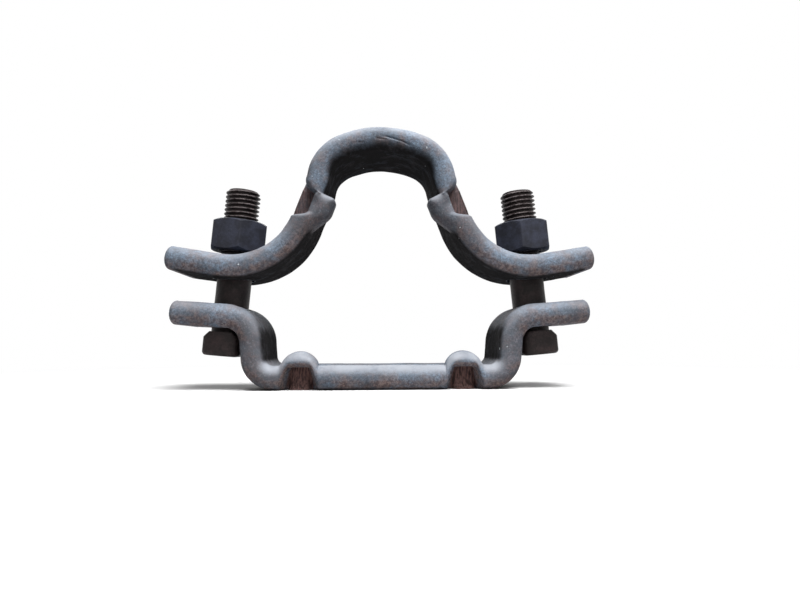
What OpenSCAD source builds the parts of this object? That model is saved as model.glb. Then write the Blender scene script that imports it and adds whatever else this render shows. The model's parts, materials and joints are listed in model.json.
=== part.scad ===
// Clamp for yielding mine arches: two bent straps pulled together by two T-head bolts.
// Units are millimetres. +Z is up, the lugged edges of both straps face -Y.

/* [Strap plate] */
// Length of both straps along the gripped steel section
strap_w = 65; // [58:1:80]
// Thickness of the plate that both straps are bent from
strap_t = 16; // [14:0.5:17]
// Rounding of the long edges of the plate
edge_r = 6; // [3:0.5:6.5]

/* [Arch strap] */
// Centre-line radius of the crown
crown_r = 66; // [60:1:72]
// Turn of the crown on each side of the middle, in degrees
crown_turn = 24; // [22:1:26]
// Centre-line radius of the shoulders beside the crown
shoulder_r = 26; // [24:1:29]
// Steepest direction of the shoulders below level, in degrees
shoulder_steep = 80; // [78:1:83]
// Centre-line radius of the flare from shoulder to leg
flare_r = 30; // [26:1:36]
// Direction of the legs below level, in degrees
leg_steep = 69; // [67:1:71]
// Straight length of each leg
leg_len = 26; // [24:1:30]
// Centre-line radius of the bend that carries a nut
seat_r = 50; // [48:1:54]
// Rise of the arch ears towards their tips, in degrees
arch_ear_rise = 9; // [7:1:11]
// Straight length of each arch ear
arch_ear_len = 35; // [30:1:42]
// Height of the middle of the crown above the resting face
crown_top = 176.4; // [172:0.2:182]

/* [Base strap] */
// Half length of the straight bar
bar_half = 71; // [69:1:72]
// Centre-line radius of the bend from bar to leg
heel_r = 13.5; // [12:0.5:15]
// Direction of the base legs above level, in degrees
base_leg_steep = 85; // [83:1:88]
// Straight length of each base leg
base_leg_len = 12; // [9:1:16]
// Centre-line radius of the bend from leg to ear
hip_r = 18; // [17:0.5:20]
// Rise of the base ears towards their tips, in degrees
base_ear_rise = 4; // [2:1:6]
// Straight length of each base ear
base_ear_len = 36; // [30:1:42]

/* [Limit lugs] */
// Depth of the sheared strip, from the front edge
lug_depth = 14; // [10:1:18]
// Outer radius of the base humps
base_lug_r = 13; // [12:0.5:14]
// Distance of the base lugs from the middle
base_lug_x = 54; // [52:1:57]
// Height of the base humps above the inner face of the bar
base_lug_rise = 9.5; // [8:0.5:11]
// Half width of the notches in the outer face of the bar
base_notch_r = 8.5; // [6:0.5:9]
// Depth of the notches in the outer face of the bar
base_notch_depth = 14.5; // [12:0.5:16]
// Outer radius of the arch humps
arch_lug_r = 14; // [12:0.5:15]
// Distance of the arch lugs down the straight part of the legs
arch_lug_s = 18; // [10:1:20]
// Height of the arch humps above the inner face of the legs
arch_lug_rise = 10; // [7:0.5:11]
// Half width of the notches in the outer face of the legs
arch_notch_r = 9; // [7:0.5:10]
// Depth of the notches in the outer face of the legs
arch_notch_depth = 9.5; // [7:0.5:12]

/* [Bolts and nuts] */
// Thread diameter
bolt_d = 24; // [22:0.5:24]
// Length under the head
bolt_len = 100; // [92:1:110]
// Lead-in cone at the free end
bolt_tip = 2; // [1:0.5:4]
// Head size across the strap, between the two flats
head_w = 24.6; // [24.4:0.1:26]
// Head size along the strap edge, over the two wings
head_len = 46; // [40:1:54]
// Head height
head_h = 16; // [12:0.5:18]
// Chamfer of the head along its bearing edges
head_chamfer = 4; // [3:0.5:5]
// Lean of both bolts towards the middle, in degrees
bolt_lean = 5.2; // [3.5:0.1:5.5]
// Width across the flats of the nuts
nut_af = 36; // [34:1:38]
// Height of the nuts
nut_h = 21.5; // [18:0.5:26]
// Turn of the nuts, from a corner straight to the front towards the middle, in degrees
nut_turn = 13; // [0:1:30]

/* [Fits] */
// Diameter of the bolt holes in both straps
hole_d = 28; // [27:0.5:30]
// Gap between a bolt head and the leg that keeps it from turning
head_gap = 1.3; // [1.2:0.1:2]
// Gap of the seats under the nuts and over the heads
seat_gap = 0.3; // [0.2:0.1:0.5]
// Radial gap in the thread
thread_gap = 0.05; // [0.02:0.01:0.1]
// Distance that the nuts can still pull the straps together
close_travel = 6; // [3:1:8]

/* [Hidden] */
$fn = 72;
steel = [0.30, 0.32, 0.36];
oxide = [0.12, 0.12, 0.14];
half_t = strap_t / 2;
lap_inset = 0.04;
lap_len = 0.6;

// A strap is a chain of [length, 0] for a straight run or [radius, turn] for a bend.
// Each chain starts in the middle and runs to the right tip. A turn to the left is positive.
arch_half = [
    [crown_r, -crown_turn],
    [shoulder_r, crown_turn - shoulder_steep],
    [flare_r, shoulder_steep - leg_steep],
    [leg_len, 0],
    [seat_r, leg_steep + arch_ear_rise],
    [arch_ear_len, 0]
];
base_half = [
    [bar_half, 0],
    [heel_r, base_leg_steep],
    [base_leg_len, 0],
    [hip_r, base_ear_rise - base_leg_steep],
    [base_ear_len, 0]
];
arch_start = [0, crown_top - half_t, 0];
base_start = [0, half_t, 0];

// Position and direction [x, z, heading] at the end of one run
function after(p, run) =
    run[1] == 0
    ? [p[0] + run[0] * cos(p[2]), p[1] + run[0] * sin(p[2]), p[2]]
    : [p[0] + sign(run[1]) * run[0] * (sin(p[2] + run[1]) - sin(p[2])),
       p[1] - sign(run[1]) * run[0] * (cos(p[2] + run[1]) - cos(p[2])),
       p[2] + run[1]];

// Position and direction after the first n runs of a chain
function pose(chain, n, start) =
    n == 0 ? start : after(pose(chain, n - 1, start), chain[n - 1]);

// Bend centre of the next run: to the left of p for a left turn, to the right for a right one
function bend_centre(p, run) =
    [p[0] - sign(run[1]) * run[0] * sin(p[2]), p[1] + sign(run[1]) * run[0] * cos(p[2])];

// Where the right bolt stands: beside the base leg, which its head can't turn past
hip_start = pose(base_half, 3, base_start);
hip_centre = bend_centre(hip_start, base_half[3]);
hip_inner_r = hip_r - half_t;
leg_face_x = hip_start[0] + half_t * sin(hip_start[2]);
bolt_x = leg_face_x + head_gap + head_w / 2;
axis_up = [-sin(bolt_lean), cos(bolt_lean)];
axis_out = [cos(bolt_lean), sin(bolt_lean)];
bolt_foot = [bolt_x, hip_centre[1]];

// The head bears on the inside of the hip bend. It moves in a little as the clamp closes.
side_shift = close_travel * tan(bolt_lean);
head_reach = head_w / 2 - (bolt_x - hip_centre[0]) * cos(bolt_lean) + side_shift;
head_s = sqrt(pow(hip_inner_r, 2) - pow(head_reach, 2)) + head_chamfer - seat_gap;

// The nut bridges the hollow of the seat bend and touches it with its round face
seat_start = pose(arch_half, 4, arch_start);
seat_centre = bend_centre(seat_start, arch_half[4]);
seat_inner_r = seat_r - half_t;
nut_corner_r = nut_af / 2 / cos(30);
nut_face_r = 0.95 * nut_af / 2;
nut_chamfer = (nut_corner_r - nut_face_r) * tan(30);
seat_way = seat_centre - bolt_foot;
nut_reach = abs(seat_way * axis_out) + nut_face_r;
nut_s = seat_way * axis_up - sqrt(pow(seat_inner_r, 2) - pow(nut_reach, 2)) + seat_gap;

// Plate section: thickness along x, strap length along y, all four edges rounded
module section(inset) {
    square([strap_t - 2 * inset, strap_w - 2 * edge_r], center = true);
    square([strap_t - 2 * edge_r, strap_w - 2 * inset], center = true);
    for (x = [-1, 1], y = [-1, 1])
        translate([x * (half_t - edge_r), y * (strap_w / 2 - edge_r)])
            circle(edge_r - inset);
}

// One run of a strap from the origin along +x, in the plane of the chain.
// A run that laps reaches into both neighbours with a section that is a hair smaller,
// so the runs join as one solid.
module run_of_plate(run, laps) {
    inset = laps ? lap_inset : 0;
    reach = laps ? lap_len : 0;
    turn_reach = reach / run[0] * 180 / PI;
    if (run[1] == 0)
        translate([-reach, 0, 0])
            rotate([90, 0, 90])
                linear_extrude(run[0] + 2 * reach)
                    section(inset);
    else if (run[1] > 0)
        translate([0, run[0], 0])
            rotate(-90 - turn_reach)
                rotate_extrude(angle = run[1] + 2 * turn_reach)
                    translate([run[0], 0])
                        section(inset);
    else
        translate([0, -run[0], 0])
            rotate(90 + run[1] - turn_reach)
                rotate_extrude(angle = 2 * turn_reach - run[1])
                    translate([run[0], 0])
                        section(inset);
}

// Puts its children at a pose of the chain
module at_pose(p) {
    translate([p[0], p[1], 0])
        rotate(p[2])
            children();
}

// A whole strap: the first run is doubled across the middle, the others stand on both sides.
// Every second run laps.
module bent_plate(chain, start) {
    first = chain[0];
    if (first[1] == 0)
        translate([-first[0], start[1], 0])
            run_of_plate([2 * first[0], 0], true);
    else
        at_pose([-after(start, first)[0], after(start, first)[1], -first[1]])
            run_of_plate([first[0], 2 * first[1]], true);
    for (side = [0, 1])
        mirror([side, 0, 0])
            for (i = [1 : len(chain) - 1])
                at_pose(pose(chain, i, start))
                    run_of_plate(chain[i], i % 2 == 0);
}

// Hump of a limit lug: a drum across the front strip with a rounded front edge.
// The origin is on the centre line of the plate, +y points to its inner face.
module lug_hump(r, rise) {
    translate([0, half_t + rise - r, strap_w / 2 - lug_depth])
        rotate_extrude() {
            square([r - edge_r, lug_depth]);
            square([r, lug_depth - edge_r]);
            translate([r - edge_r, lug_depth - edge_r])
                circle(edge_r);
        }
}

// Notch that the same strip leaves in the outer face, with a round end
module lug_notch(r, depth) {
    translate([0, depth - half_t - r, strap_w / 2 - lug_depth]) {
        cylinder(r = r, h = lug_depth + 1);
        translate([-r, -2 * strap_t, 0])
            cube([2 * r, 2 * strap_t, lug_depth + 1]);
    }
}

// Two straps are drawn in their bending plane and then stood up: the front is -Y
module stand_up() {
    rotate([90, 0, 0])
        children();
}

// Places its children on the right bolt's axis, s along the axis from the foot
module on_right_axis(s) {
    foot = bolt_foot + s * axis_up;
    translate([foot[0], 0, foot[1]])
        rotate([0, -bolt_lean, 0])
            children();
}

module both_sides() {
    children();
    mirror([1, 0, 0])
        children();
}

module base_strap() {
    color(steel)
        difference() {
            stand_up()
                difference() {
                    union() {
                        bent_plate(base_half, base_start);
                        both_sides()
                            translate([base_lug_x, half_t, 0])
                                lug_hump(base_lug_r, base_lug_rise);
                    }
                    both_sides()
                        translate([base_lug_x, half_t, 0])
                            lug_notch(base_notch_r, base_notch_depth);
                }
            both_sides()
                on_right_axis(head_s - head_chamfer - 1)
                    cylinder(d = hole_d, h = 3 * strap_t);
        }
}

// The inner face of the arch lies on the right of its chain, so its lugs are turned over
module arch_lug_place() {
    lug_pose = after(pose(arch_half, 3, arch_start), [arch_lug_s, 0]);
    at_pose(lug_pose)
        mirror([0, 1, 0])
            children();
}

module arch_strap() {
    color(steel)
        difference() {
            stand_up()
                difference() {
                    union() {
                        bent_plate(arch_half, arch_start);
                        both_sides()
                            arch_lug_place()
                                lug_hump(arch_lug_r, arch_lug_rise);
                    }
                    both_sides()
                        arch_lug_place()
                            lug_notch(arch_notch_r, arch_notch_depth);
                }
            both_sides()
                on_right_axis(nut_s - 2 * strap_t)
                    cylinder(d = hole_d, h = 3 * strap_t);
        }
}

// Bolt along +z with its bearing face at z = 0
module t_bolt() {
    translate([0, 0, -head_h / 2])
        cylinder(d = bolt_d, h = head_h / 2 + bolt_len - bolt_tip);
    translate([0, 0, bolt_len - bolt_tip])
        cylinder(d1 = bolt_d, d2 = bolt_d - 2 * bolt_tip, h = bolt_tip);
    intersection() {
        translate([0, 0, -head_h])
            cylinder(d = head_len, h = head_h);
        rotate([90, 0, 0])
            linear_extrude(head_len + 2, center = true)
                polygon([
                    [-head_w / 2, -head_h], [head_w / 2, -head_h],
                    [head_w / 2, -head_chamfer], [head_w / 2 - head_chamfer, 0],
                    [head_chamfer - head_w / 2, 0], [-head_w / 2, -head_chamfer]
                ]);
    }
}

// Hexagon nut along +z with its lower face at z = 0
module hex_nut() {
    bore_r = bolt_d / 2 + thread_gap;
    difference() {
        intersection() {
            rotate(30 - nut_turn)
                cylinder(r = nut_corner_r, h = nut_h, $fn = 6);
            rotate_extrude()
                polygon([
                    [0, 0], [nut_face_r, 0], [nut_corner_r + 0.01, nut_chamfer],
                    [nut_corner_r + 0.01, nut_h - nut_chamfer], [nut_face_r, nut_h], [0, nut_h]
                ]);
        }
        translate([0, 0, -1])
            cylinder(r = bore_r, h = nut_h + 2);
        translate([0, 0, -0.01])
            cylinder(r1 = bore_r + 1, r2 = bore_r, h = 1);
        translate([0, 0, nut_h - 0.99])
            cylinder(r1 = bore_r, r2 = bore_r + 1, h = 1);
    }
}

module right_bolt() {
    color(oxide)
        on_right_axis(head_s)
            t_bolt();
}

module left_bolt() {
    mirror([1, 0, 0])
        right_bolt();
}

module right_nut() {
    color(oxide)
        on_right_axis(nut_s)
            hex_nut();
}

module left_nut() {
    mirror([1, 0, 0])
        right_nut();
}

base_strap();
arch_strap();
left_bolt();
right_bolt();
left_nut();
right_nut();
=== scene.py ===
# %% [markdown]
# # A clamp for mine roadway arches
# Steel arches hold up the roof of a mine roadway. Each arch is made of rolled trough sections that
# overlap, and clamps like this one squeeze the overlap so that it slips only under great load.
# The clamp has six pieces: two straps bent hot from thick flat bar, two T-head bolts and two nuts.
# The plain solids could just be painted, but torn steps, rounded edges and threads are what makes a
# forged part look real. So this lesson works out a new skin for each solid, finishes it and lights it.

# %% Load the solids
import json
import math

import bmesh
import bpy
import numpy as np
from mathutils import Matrix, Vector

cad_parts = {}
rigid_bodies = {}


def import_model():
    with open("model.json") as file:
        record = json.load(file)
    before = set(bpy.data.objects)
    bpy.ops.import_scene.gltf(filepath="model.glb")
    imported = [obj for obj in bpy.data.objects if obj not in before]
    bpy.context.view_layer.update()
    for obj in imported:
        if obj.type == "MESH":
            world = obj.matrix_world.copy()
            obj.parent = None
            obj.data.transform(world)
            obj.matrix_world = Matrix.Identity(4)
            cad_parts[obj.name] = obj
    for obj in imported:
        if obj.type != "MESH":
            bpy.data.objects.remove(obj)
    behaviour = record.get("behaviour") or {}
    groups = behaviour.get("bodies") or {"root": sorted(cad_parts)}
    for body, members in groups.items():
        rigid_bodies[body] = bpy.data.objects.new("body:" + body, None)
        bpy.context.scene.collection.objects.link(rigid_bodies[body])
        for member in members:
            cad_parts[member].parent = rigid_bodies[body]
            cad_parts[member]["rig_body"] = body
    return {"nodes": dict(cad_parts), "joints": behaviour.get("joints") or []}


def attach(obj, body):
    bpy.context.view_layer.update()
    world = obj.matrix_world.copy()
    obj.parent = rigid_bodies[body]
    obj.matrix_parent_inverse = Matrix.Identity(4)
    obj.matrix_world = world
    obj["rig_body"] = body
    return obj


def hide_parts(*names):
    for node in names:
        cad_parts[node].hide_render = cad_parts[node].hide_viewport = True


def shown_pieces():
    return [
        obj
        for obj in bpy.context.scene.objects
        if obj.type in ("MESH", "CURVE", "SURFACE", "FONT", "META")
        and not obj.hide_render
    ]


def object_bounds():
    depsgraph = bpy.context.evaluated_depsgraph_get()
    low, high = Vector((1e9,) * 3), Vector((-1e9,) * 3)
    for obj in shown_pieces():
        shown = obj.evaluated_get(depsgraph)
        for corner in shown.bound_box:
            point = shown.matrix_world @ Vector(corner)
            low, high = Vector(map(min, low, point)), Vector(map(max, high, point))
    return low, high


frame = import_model()
cad_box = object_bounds()
MM = 0.001
solid_size = [round(v / MM, 1) for v in cad_box[1] - cad_box[0]]
print("solids:", sorted(frame["nodes"]), "box in mm:", solid_size)

# %% [markdown]
# ## Points to mesh
# Every surface below is a grid of points that numpy works out in millimetres. One helper joins the
# grid into four-sided faces. A closed seam or a pole has points that coincide, and the helper merges
# them, so the mesh ends up watertight. It could be drawn by hand, but a formula is easier to correct.

# %% Grid helper
MERGE = 0.002
SHARP_ANGLE = 40


def grid_faces(rows, columns, closed):
    """Faces of a grid: each takes a point, its neighbour in the row and the same two in the next row. A
    closed grid also joins its last column to the first."""
    index = np.arange(rows * columns).reshape(rows, columns)
    if closed:
        index = np.concatenate([index, index[:, :1]], axis=1)
    corners = (index[:-1, :-1], index[:-1, 1:], index[1:, 1:], index[1:, :-1])
    return np.stack(corners, axis=-1).reshape(-1, 4)


def store_mark(mesh, name, values):
    """Stores one number per point under a name that materials can read."""
    layer = mesh.attributes.new(name, "FLOAT", "POINT")
    layer.data.foreach_set("value", np.ascontiguousarray(values, np.float32).ravel())


def merge_doubles(mesh, merge):
    """Merges points closer than the given length in millimetres, drops faces without area that this
    leaves, splits faces of more than four sides and turns all faces outwards."""
    work = bmesh.new()
    work.from_mesh(mesh)
    bmesh.ops.remove_doubles(work, verts=work.verts[:], dist=merge * MM)
    bmesh.ops.dissolve_degenerate(work, edges=work.edges[:], dist=merge * MM)
    many_sided = [face for face in work.faces if len(face.verts) > 4]
    bmesh.ops.triangulate(work, faces=many_sided)
    bmesh.ops.recalc_face_normals(work, faces=work.faces[:])
    work.to_mesh(mesh)
    work.free()


def finish_shading(mesh, sharp_angle):
    """Smooth shading, with a hard line only where two faces meet at more than the angle."""
    mesh.polygons.foreach_set("use_smooth", np.ones(len(mesh.polygons), bool))
    mesh.set_sharp_from_angle(angle=math.radians(sharp_angle))


def mesh_piece(name, points, closed, marks=None, sharp_angle=SHARP_ANGLE):
    """A mesh object at the origin from a grid of points in millimetres, with its marks."""
    faces = grid_faces(*points.shape[:2], closed)
    mesh = bpy.data.meshes.new(name)
    mesh.from_pydata((points.reshape(-1, 3) * MM).tolist(), [], faces.tolist())
    for mark_name, values in (marks or {}).items():
        store_mark(mesh, mark_name, values)
    merge_doubles(mesh, MERGE)
    finish_shading(mesh, sharp_angle)
    piece = bpy.data.objects.new(name, mesh)
    bpy.context.scene.collection.objects.link(piece)
    print(name, "has", len(mesh.vertices), "points and", len(mesh.polygons), "faces")
    return piece


print("a grid of 3 by 4 points has", len(grid_faces(3, 4, False)), "faces")

# %% [markdown]
# ## The centre line of a strap
# A strap is a flat bar bent in one plane, so its side view is a chain of straights and arcs. It could
# be a curve with handles, but then the bend radii are only near the real ones. Here the heading
# changes evenly with the length along each bend, and adding up its cosine and sine gives the place,
# which is how a bending machine would be programmed too.

# %% Bends of both straps
ARCH_RUNS = [(66, -24), (26, -56), (30, 11), (26, 0), (50, 78), (35, 0)]
BASE_RUNS = [(71, 0), (13.5, 85), (12, 0), (18, -81), (36, 0)]
FINE_STEPS = 6001


def run_length(run):
    """A straight run gives its length, a bend its radius times its turn."""
    size, turn = run
    return size if turn == 0 else size * abs(math.radians(turn))


def centre_line(runs, middle_height, rows):
    """Place and heading at each row. Heading is linear in the length along every run, the place is the
    running sum of its cosine and sine from the middle, and the left half mirrors the right half."""
    knots = np.concatenate([[0], np.cumsum([run_length(run) for run in runs])])
    headings = np.concatenate([[0], np.cumsum(np.radians([turn for _, turn in runs]))])
    fine = np.linspace(0, knots[-1], FINE_STEPS)
    heading = np.interp(fine, knots, headings)
    middle = (heading[1:] + heading[:-1]) / 2
    x = np.concatenate([[0], np.cumsum(np.cos(middle) * fine[1])])
    z = np.concatenate([[0], np.cumsum(np.sin(middle) * fine[1])]) + middle_height
    side, far = np.sign(rows), np.abs(rows)
    return side * np.interp(far, fine, x), np.interp(far, fine, z), side * np.interp(far, fine, heading)


ARCH_LEN = sum(run_length(run) for run in ARCH_RUNS)
BASE_LEN = sum(run_length(run) for run in BASE_RUNS)
print("bar lengths in mm:", round(2 * ARCH_LEN, 1), round(2 * BASE_LEN, 1))

# %% [markdown]
# ## The section of the bar
# The bar is 16 mm thick with well rounded long edges. A bevelled box would do for a plain bar, but the
# lugs need points just where the steel tears. So the section is listed once round: from the middle of
# the front edge over the inner face to the back edge, and back along the outer face. Its points
# stand close together at the shear line.

# %% Section points
PLATE_T = 16.0
PLATE_W = (cad_box[1].y - cad_box[0].y) / MM
HALF_T = PLATE_T / 2
HALF_W = PLATE_W / 2
EDGE_R = 7.4
CORNER_STEPS = 21
STRIP_W = 14
SHEAR_Y = STRIP_W - HALF_W
SHEAR_HALF = 0.8
SHEAR_SPREAD = np.array([-1.7, -1.0, -0.7, -0.45, -0.2, 0, 0.2, 0.45, 0.7, 1.0, 1.7])
STRIP_STEPS = 6
BACK_STEPS = 19


def half_section():
    """Inner half of the section as (u, y): u runs through the thickness, y along the gripped steel.
    The two edges are quarter circles, the face between them is flat."""
    turn = np.linspace(0, math.pi / 2, CORNER_STEPS)
    front_u = HALF_T - EDGE_R + EDGE_R * np.sin(turn)
    front_y = EDGE_R - HALF_W - EDGE_R * np.cos(turn)
    flat_end = HALF_W - EDGE_R
    shear = SHEAR_Y + SHEAR_HALF * SHEAR_SPREAD
    before = np.linspace(-flat_end, shear[0], STRIP_STEPS)[1:-1]
    after = np.linspace(shear[-1], flat_end, BACK_STEPS)[1:-1]
    face_y = np.concatenate([before, shear, after])
    u = np.concatenate([[0], front_u, np.full(len(face_y), HALF_T), front_u[::-1], [0]])
    y = np.concatenate([[-HALF_W], front_y, face_y, -front_y[::-1], [HALF_W]])
    return u, y


def full_section():
    """The inner half, then its mirror image on the outer side, once round without repeats."""
    u, y = half_section()
    return np.concatenate([u, -u[-2:0:-1]]), np.concatenate([y, y[-2:0:-1]])


print("section points:", len(full_section()[0]))

# %% [markdown]
# ## The limit lugs
# Near each leg a strip of the front edge is half sheared: a punch tears it along one line and
# presses it inwards, so it stands up as a lug on the inside and leaves a notch on the outside. The
# arch sections can then not slide sideways out of the clamp. A boolean of simple drums would show
# the lug, but only a moved strip shows the torn step at one end and the soft bend at the other.


# %% Lines that the lugs are made of
def rise(value, start, end):
    """Zero up to the start, one from the end on, and half a cosine wave between. The end may also lie
    below the start, and then the result grows as the value falls."""
    return 0.5 - 0.5 * np.cos(math.pi * np.clip((value - start) / (end - start), 0, 1))


def strip_gate(y):
    """One on the front strip, zero behind the shear line, with a steep wall between."""
    return rise(y, SHEAR_Y + SHEAR_HALF, SHEAR_Y - SHEAR_HALF)


def rim_fall(y, depth):
    """Fall of a quarter circle over the given depth behind the front edge: none at its back, one at
    the edge itself."""
    front = np.clip((depth - HALF_W - y) / depth, 0, 1)
    return 1 - np.sqrt(1 - front ** 2)


print("gate in front of and behind the shear line:", strip_gate(np.array([SHEAR_Y - 2, SHEAR_Y + 2])))

# %% Lugs of the base strap
BASE_LUG = 54.0
BASE_DRUM = 13.0
BASE_RISE = 9.5
BASE_LUG_END = (10, 18)
VALLEY = 1.4
CUSHION = 0.4
CUSHION_DEPTH = 13.5
BASE_NOTCH = 14.5
BASE_NOTCH_SIDE = (4.6, 9.6)
NOTCH_FLARE = 0.4
FLARE_ZONE = (SHEAR_Y - 1, SHEAR_Y - 10)


def base_press(rows, y):
    """How far the inner and the outer skin of the base strip move inwards at each row and column. The
    lug is the top of a circle, cut off at the torn end and run out softly at the other, and its front
    is cushioned by a quarter circle. The notch has a flat ceiling, falls on both sides by half a
    cosine wave and grows wider towards the front."""
    along = np.abs(rows) - BASE_LUG
    drum = np.sqrt(np.maximum(BASE_DRUM ** 2 - along ** 2, 0)) - BASE_DRUM + BASE_RISE
    soft = VALLEY * np.log1p(np.exp(drum / VALLEY)) * (1 - rise(along, *BASE_LUG_END))
    lug = np.where(along < 0, np.maximum(drum, 0), soft)
    flare = 1 + NOTCH_FLARE * rise(y, *FLARE_ZONE)
    away = np.abs(along)[:, None] / flare
    notch = BASE_NOTCH * (1 - rise(away, *BASE_NOTCH_SIDE))
    return np.outer(lug, 1 - CUSHION * rim_fall(y, CUSHION_DEPTH)), notch


base_top = base_press(np.array([BASE_LUG]), np.zeros(1))[0].item()
print("base lugs stand up by", round(base_top, 2), "mm")

# %% Lugs of the arch strap
ARCH_TEAR = 63.6
ARCH_RISE = 9.0
ARCH_STEP = (0.7, 1.4)
ARCH_LUG_END = (11, 31)
LUG_CORNER = 3.6
LUG_CORNER_START = 1.2
LUG_BEVEL = 6.0
ARCH_NOTCH = 9.5
ARCH_NOTCH_END = (15.5, 23)
NOSE_START = -6.0
NOSE_LEN = 8.0


def arch_press(rows, y):
    """The same for the arch strap: the outer skin ends in a round nose before the tear. The lug starts
    behind it with an upright step whose corner is a quarter circle, and runs out softly down the leg.
    Towards the front rim the step turns into a soft ramp."""
    along = np.abs(rows) - ARCH_TEAR
    bevel = LUG_BEVEL * rim_fall(y, LUG_BEVEL)
    late = along[:, None] - bevel / 2
    corner = np.clip((late - LUG_CORNER_START) / LUG_CORNER, 0, 1)
    wall = rise(late, ARCH_STEP[0], ARCH_STEP[1] + bevel)
    step = wall * (ARCH_RISE - LUG_CORNER + LUG_CORNER * np.sqrt(1 - (1 - corner) ** 2))
    lug = step * (1 - rise(along, *ARCH_LUG_END))[:, None]
    nose = 1 - np.sqrt(1 - np.clip((along - NOSE_START) / NOSE_LEN, 0, 1) ** 2)
    notch = ARCH_NOTCH * nose * (1 - rise(along, *ARCH_NOTCH_END))
    return lug, np.outer(notch, np.ones_like(y))


arch_top = arch_press(np.array([ARCH_TEAR + ARCH_LUG_END[0]]), np.zeros(1))[0].item()
print("arch lugs stand up by", round(arch_top, 2), "mm")

# %% [markdown]
# ## Waves of the hot-formed skin
# A hot-bent bar is never quite even: its faces swell and sink by tenths of a millimetre, and its
# edges wander. A sculpting brush could do that, but not twice in the same way. A sum of sine waves in
# many directions with a fixed seed gives the same skin in every run. It only moves inwards, so the
# strap never grows past its solid.

# %% Skin waves
WAVE_COUNT = 28
WAVE_STRETCH = (0.7, 1.5)


def sine_field(points, seed, wave):
    """Sum of sine waves with seeded directions and phases, and with lengths round the given one. It lies
    between about -1 and 1."""
    draw = np.random.default_rng(seed)
    heading = draw.normal(size=(WAVE_COUNT, 3))
    heading /= np.linalg.norm(heading, axis=1, keepdims=True)
    pace = 2 * math.pi / (wave * draw.uniform(*WAVE_STRETCH, WAVE_COUNT))
    phase = draw.uniform(0, 2 * math.pi, WAVE_COUNT)
    return np.sin(points @ (heading * pace[:, None]).T + phase).sum(-1) / math.sqrt(WAVE_COUNT)


def grid_normals(points):
    """Unit normals of a grid that is closed along its columns, from the cross product of its steps."""
    down = np.gradient(points, axis=0)
    across = np.roll(points, -1, axis=1) - np.roll(points, 1, axis=1)
    normal = np.cross(across, down)
    return normal / np.maximum(np.linalg.norm(normal, axis=-1, keepdims=True), 1e-9)


def outward_sign(points):
    """One if the grid normals point out of the bar, else minus one: tested in the middle row."""
    row = points[len(points) // 2]
    normal = grid_normals(points)[len(points) // 2]
    return np.sign(((row - row.mean(axis=0)) * normal).sum())


print("waves at the origin:", sine_field(np.zeros((1, 3)), 3, 20).round(3))

# %% [markdown]
# ## Rows along a strap
# The grid needs many rows where the steel is torn and few where it is plain. Even rows would be
# simpler, but they would blur the tears or waste faces. So the rows crowd round given places, and
# at each tip a few more round off the sheared end and close it.

# %% Rows of a strap
ROW_STEP = 0.9
FINE_ROW_STEP = 0.25
CROWD_REACH = 2.5
TIP_R = 4.0
TIP_STEPS = 10
TIP_RINGS = 5
FIRST_RING = 0.8
TIP_GAP = 0.1


def crowded_rows(length, places):
    """Rows from tip to tip whose spacing shrinks from the plain step to the fine one near given places."""
    fine = np.linspace(0, length, FINE_STEPS)
    near = np.exp(-(((fine[:, None] - np.array(places)) / CROWD_REACH) ** 2)).max(axis=1)
    density = 1 / ROW_STEP + near * (1 / FINE_ROW_STEP - 1 / ROW_STEP)
    count = np.concatenate([[0], np.cumsum((density[1:] + density[:-1]) / 2 * fine[1])])
    half = np.interp(np.linspace(0, count[-1], int(count[-1])), count, fine)
    return np.concatenate([-half[:0:-1], half])


def tip_rows(length):
    """Rows at one tip: a rounded rim, then ever smaller rings that close the sheared end. Each has a
    place along the bar, an inset of the section and a share of its size."""
    turn = np.linspace(0, math.pi / 2, TIP_STEPS)
    rim_place = length - TIP_R + TIP_R * np.sin(turn)
    rim = np.stack([rim_place, TIP_R * (1 - np.cos(turn)), np.ones(TIP_STEPS)], 1)
    share = np.linspace(FIRST_RING, 0, TIP_RINGS)
    face = np.stack([np.full(TIP_RINGS, length), np.full(TIP_RINGS, TIP_R), share], 1)
    return np.concatenate([rim, face])


def strap_rows(length, fine_places):
    """Place, inset and share of all rows, from the left tip to the right one."""
    body = crowded_rows(length - TIP_R - TIP_GAP, fine_places)
    right = tip_rows(length)
    left = right[::-1] * [-1, 1, 1]
    middle = np.stack([body, np.zeros_like(body), np.ones_like(body)], 1)
    return np.concatenate([left, middle, right]).T


ARCH_FINE = [ARCH_TEAR + 1.2, ARCH_TEAR + 4, ARCH_TEAR + 18]
BASE_FINE = [BASE_LUG - 12.4, BASE_LUG - 7, BASE_LUG + 7]
print("rows:", strap_rows(ARCH_LEN, ARCH_FINE).shape[1], strap_rows(BASE_LEN, BASE_FINE).shape[1])

# %% [markdown]
# ## Folds and creases
# Hot pressing leaves small folds under the front rim of the crown, where the steel is squeezed most,
# and a crease where a lug is torn. A bump in the material would vanish at the outline, so both are
# real grooves: their depth is added to that of the waves.

# %% Grooves in the skin
LAPS = [(-15, 9, 0.8, 2.9), (0, 12, 0.8, 2.3), (7, 13, 1.2, 1.2), (13, 14, 0.9, 2.2), (18, 9, 1.1, 3.1)]
LAP_HALF = 0.5
LAP_SWAY = 0.5
LAP_BENDS = 4
CREASE_PLACE = BASE_LUG - 12.6
CREASE_HALF = 0.5
CREASE_DEPTH = 0.2


def bell(value, half):
    """Bell curve: one at zero, falling off with the square of the value over the half width."""
    return np.exp(-((value / half) ** 2))


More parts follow.
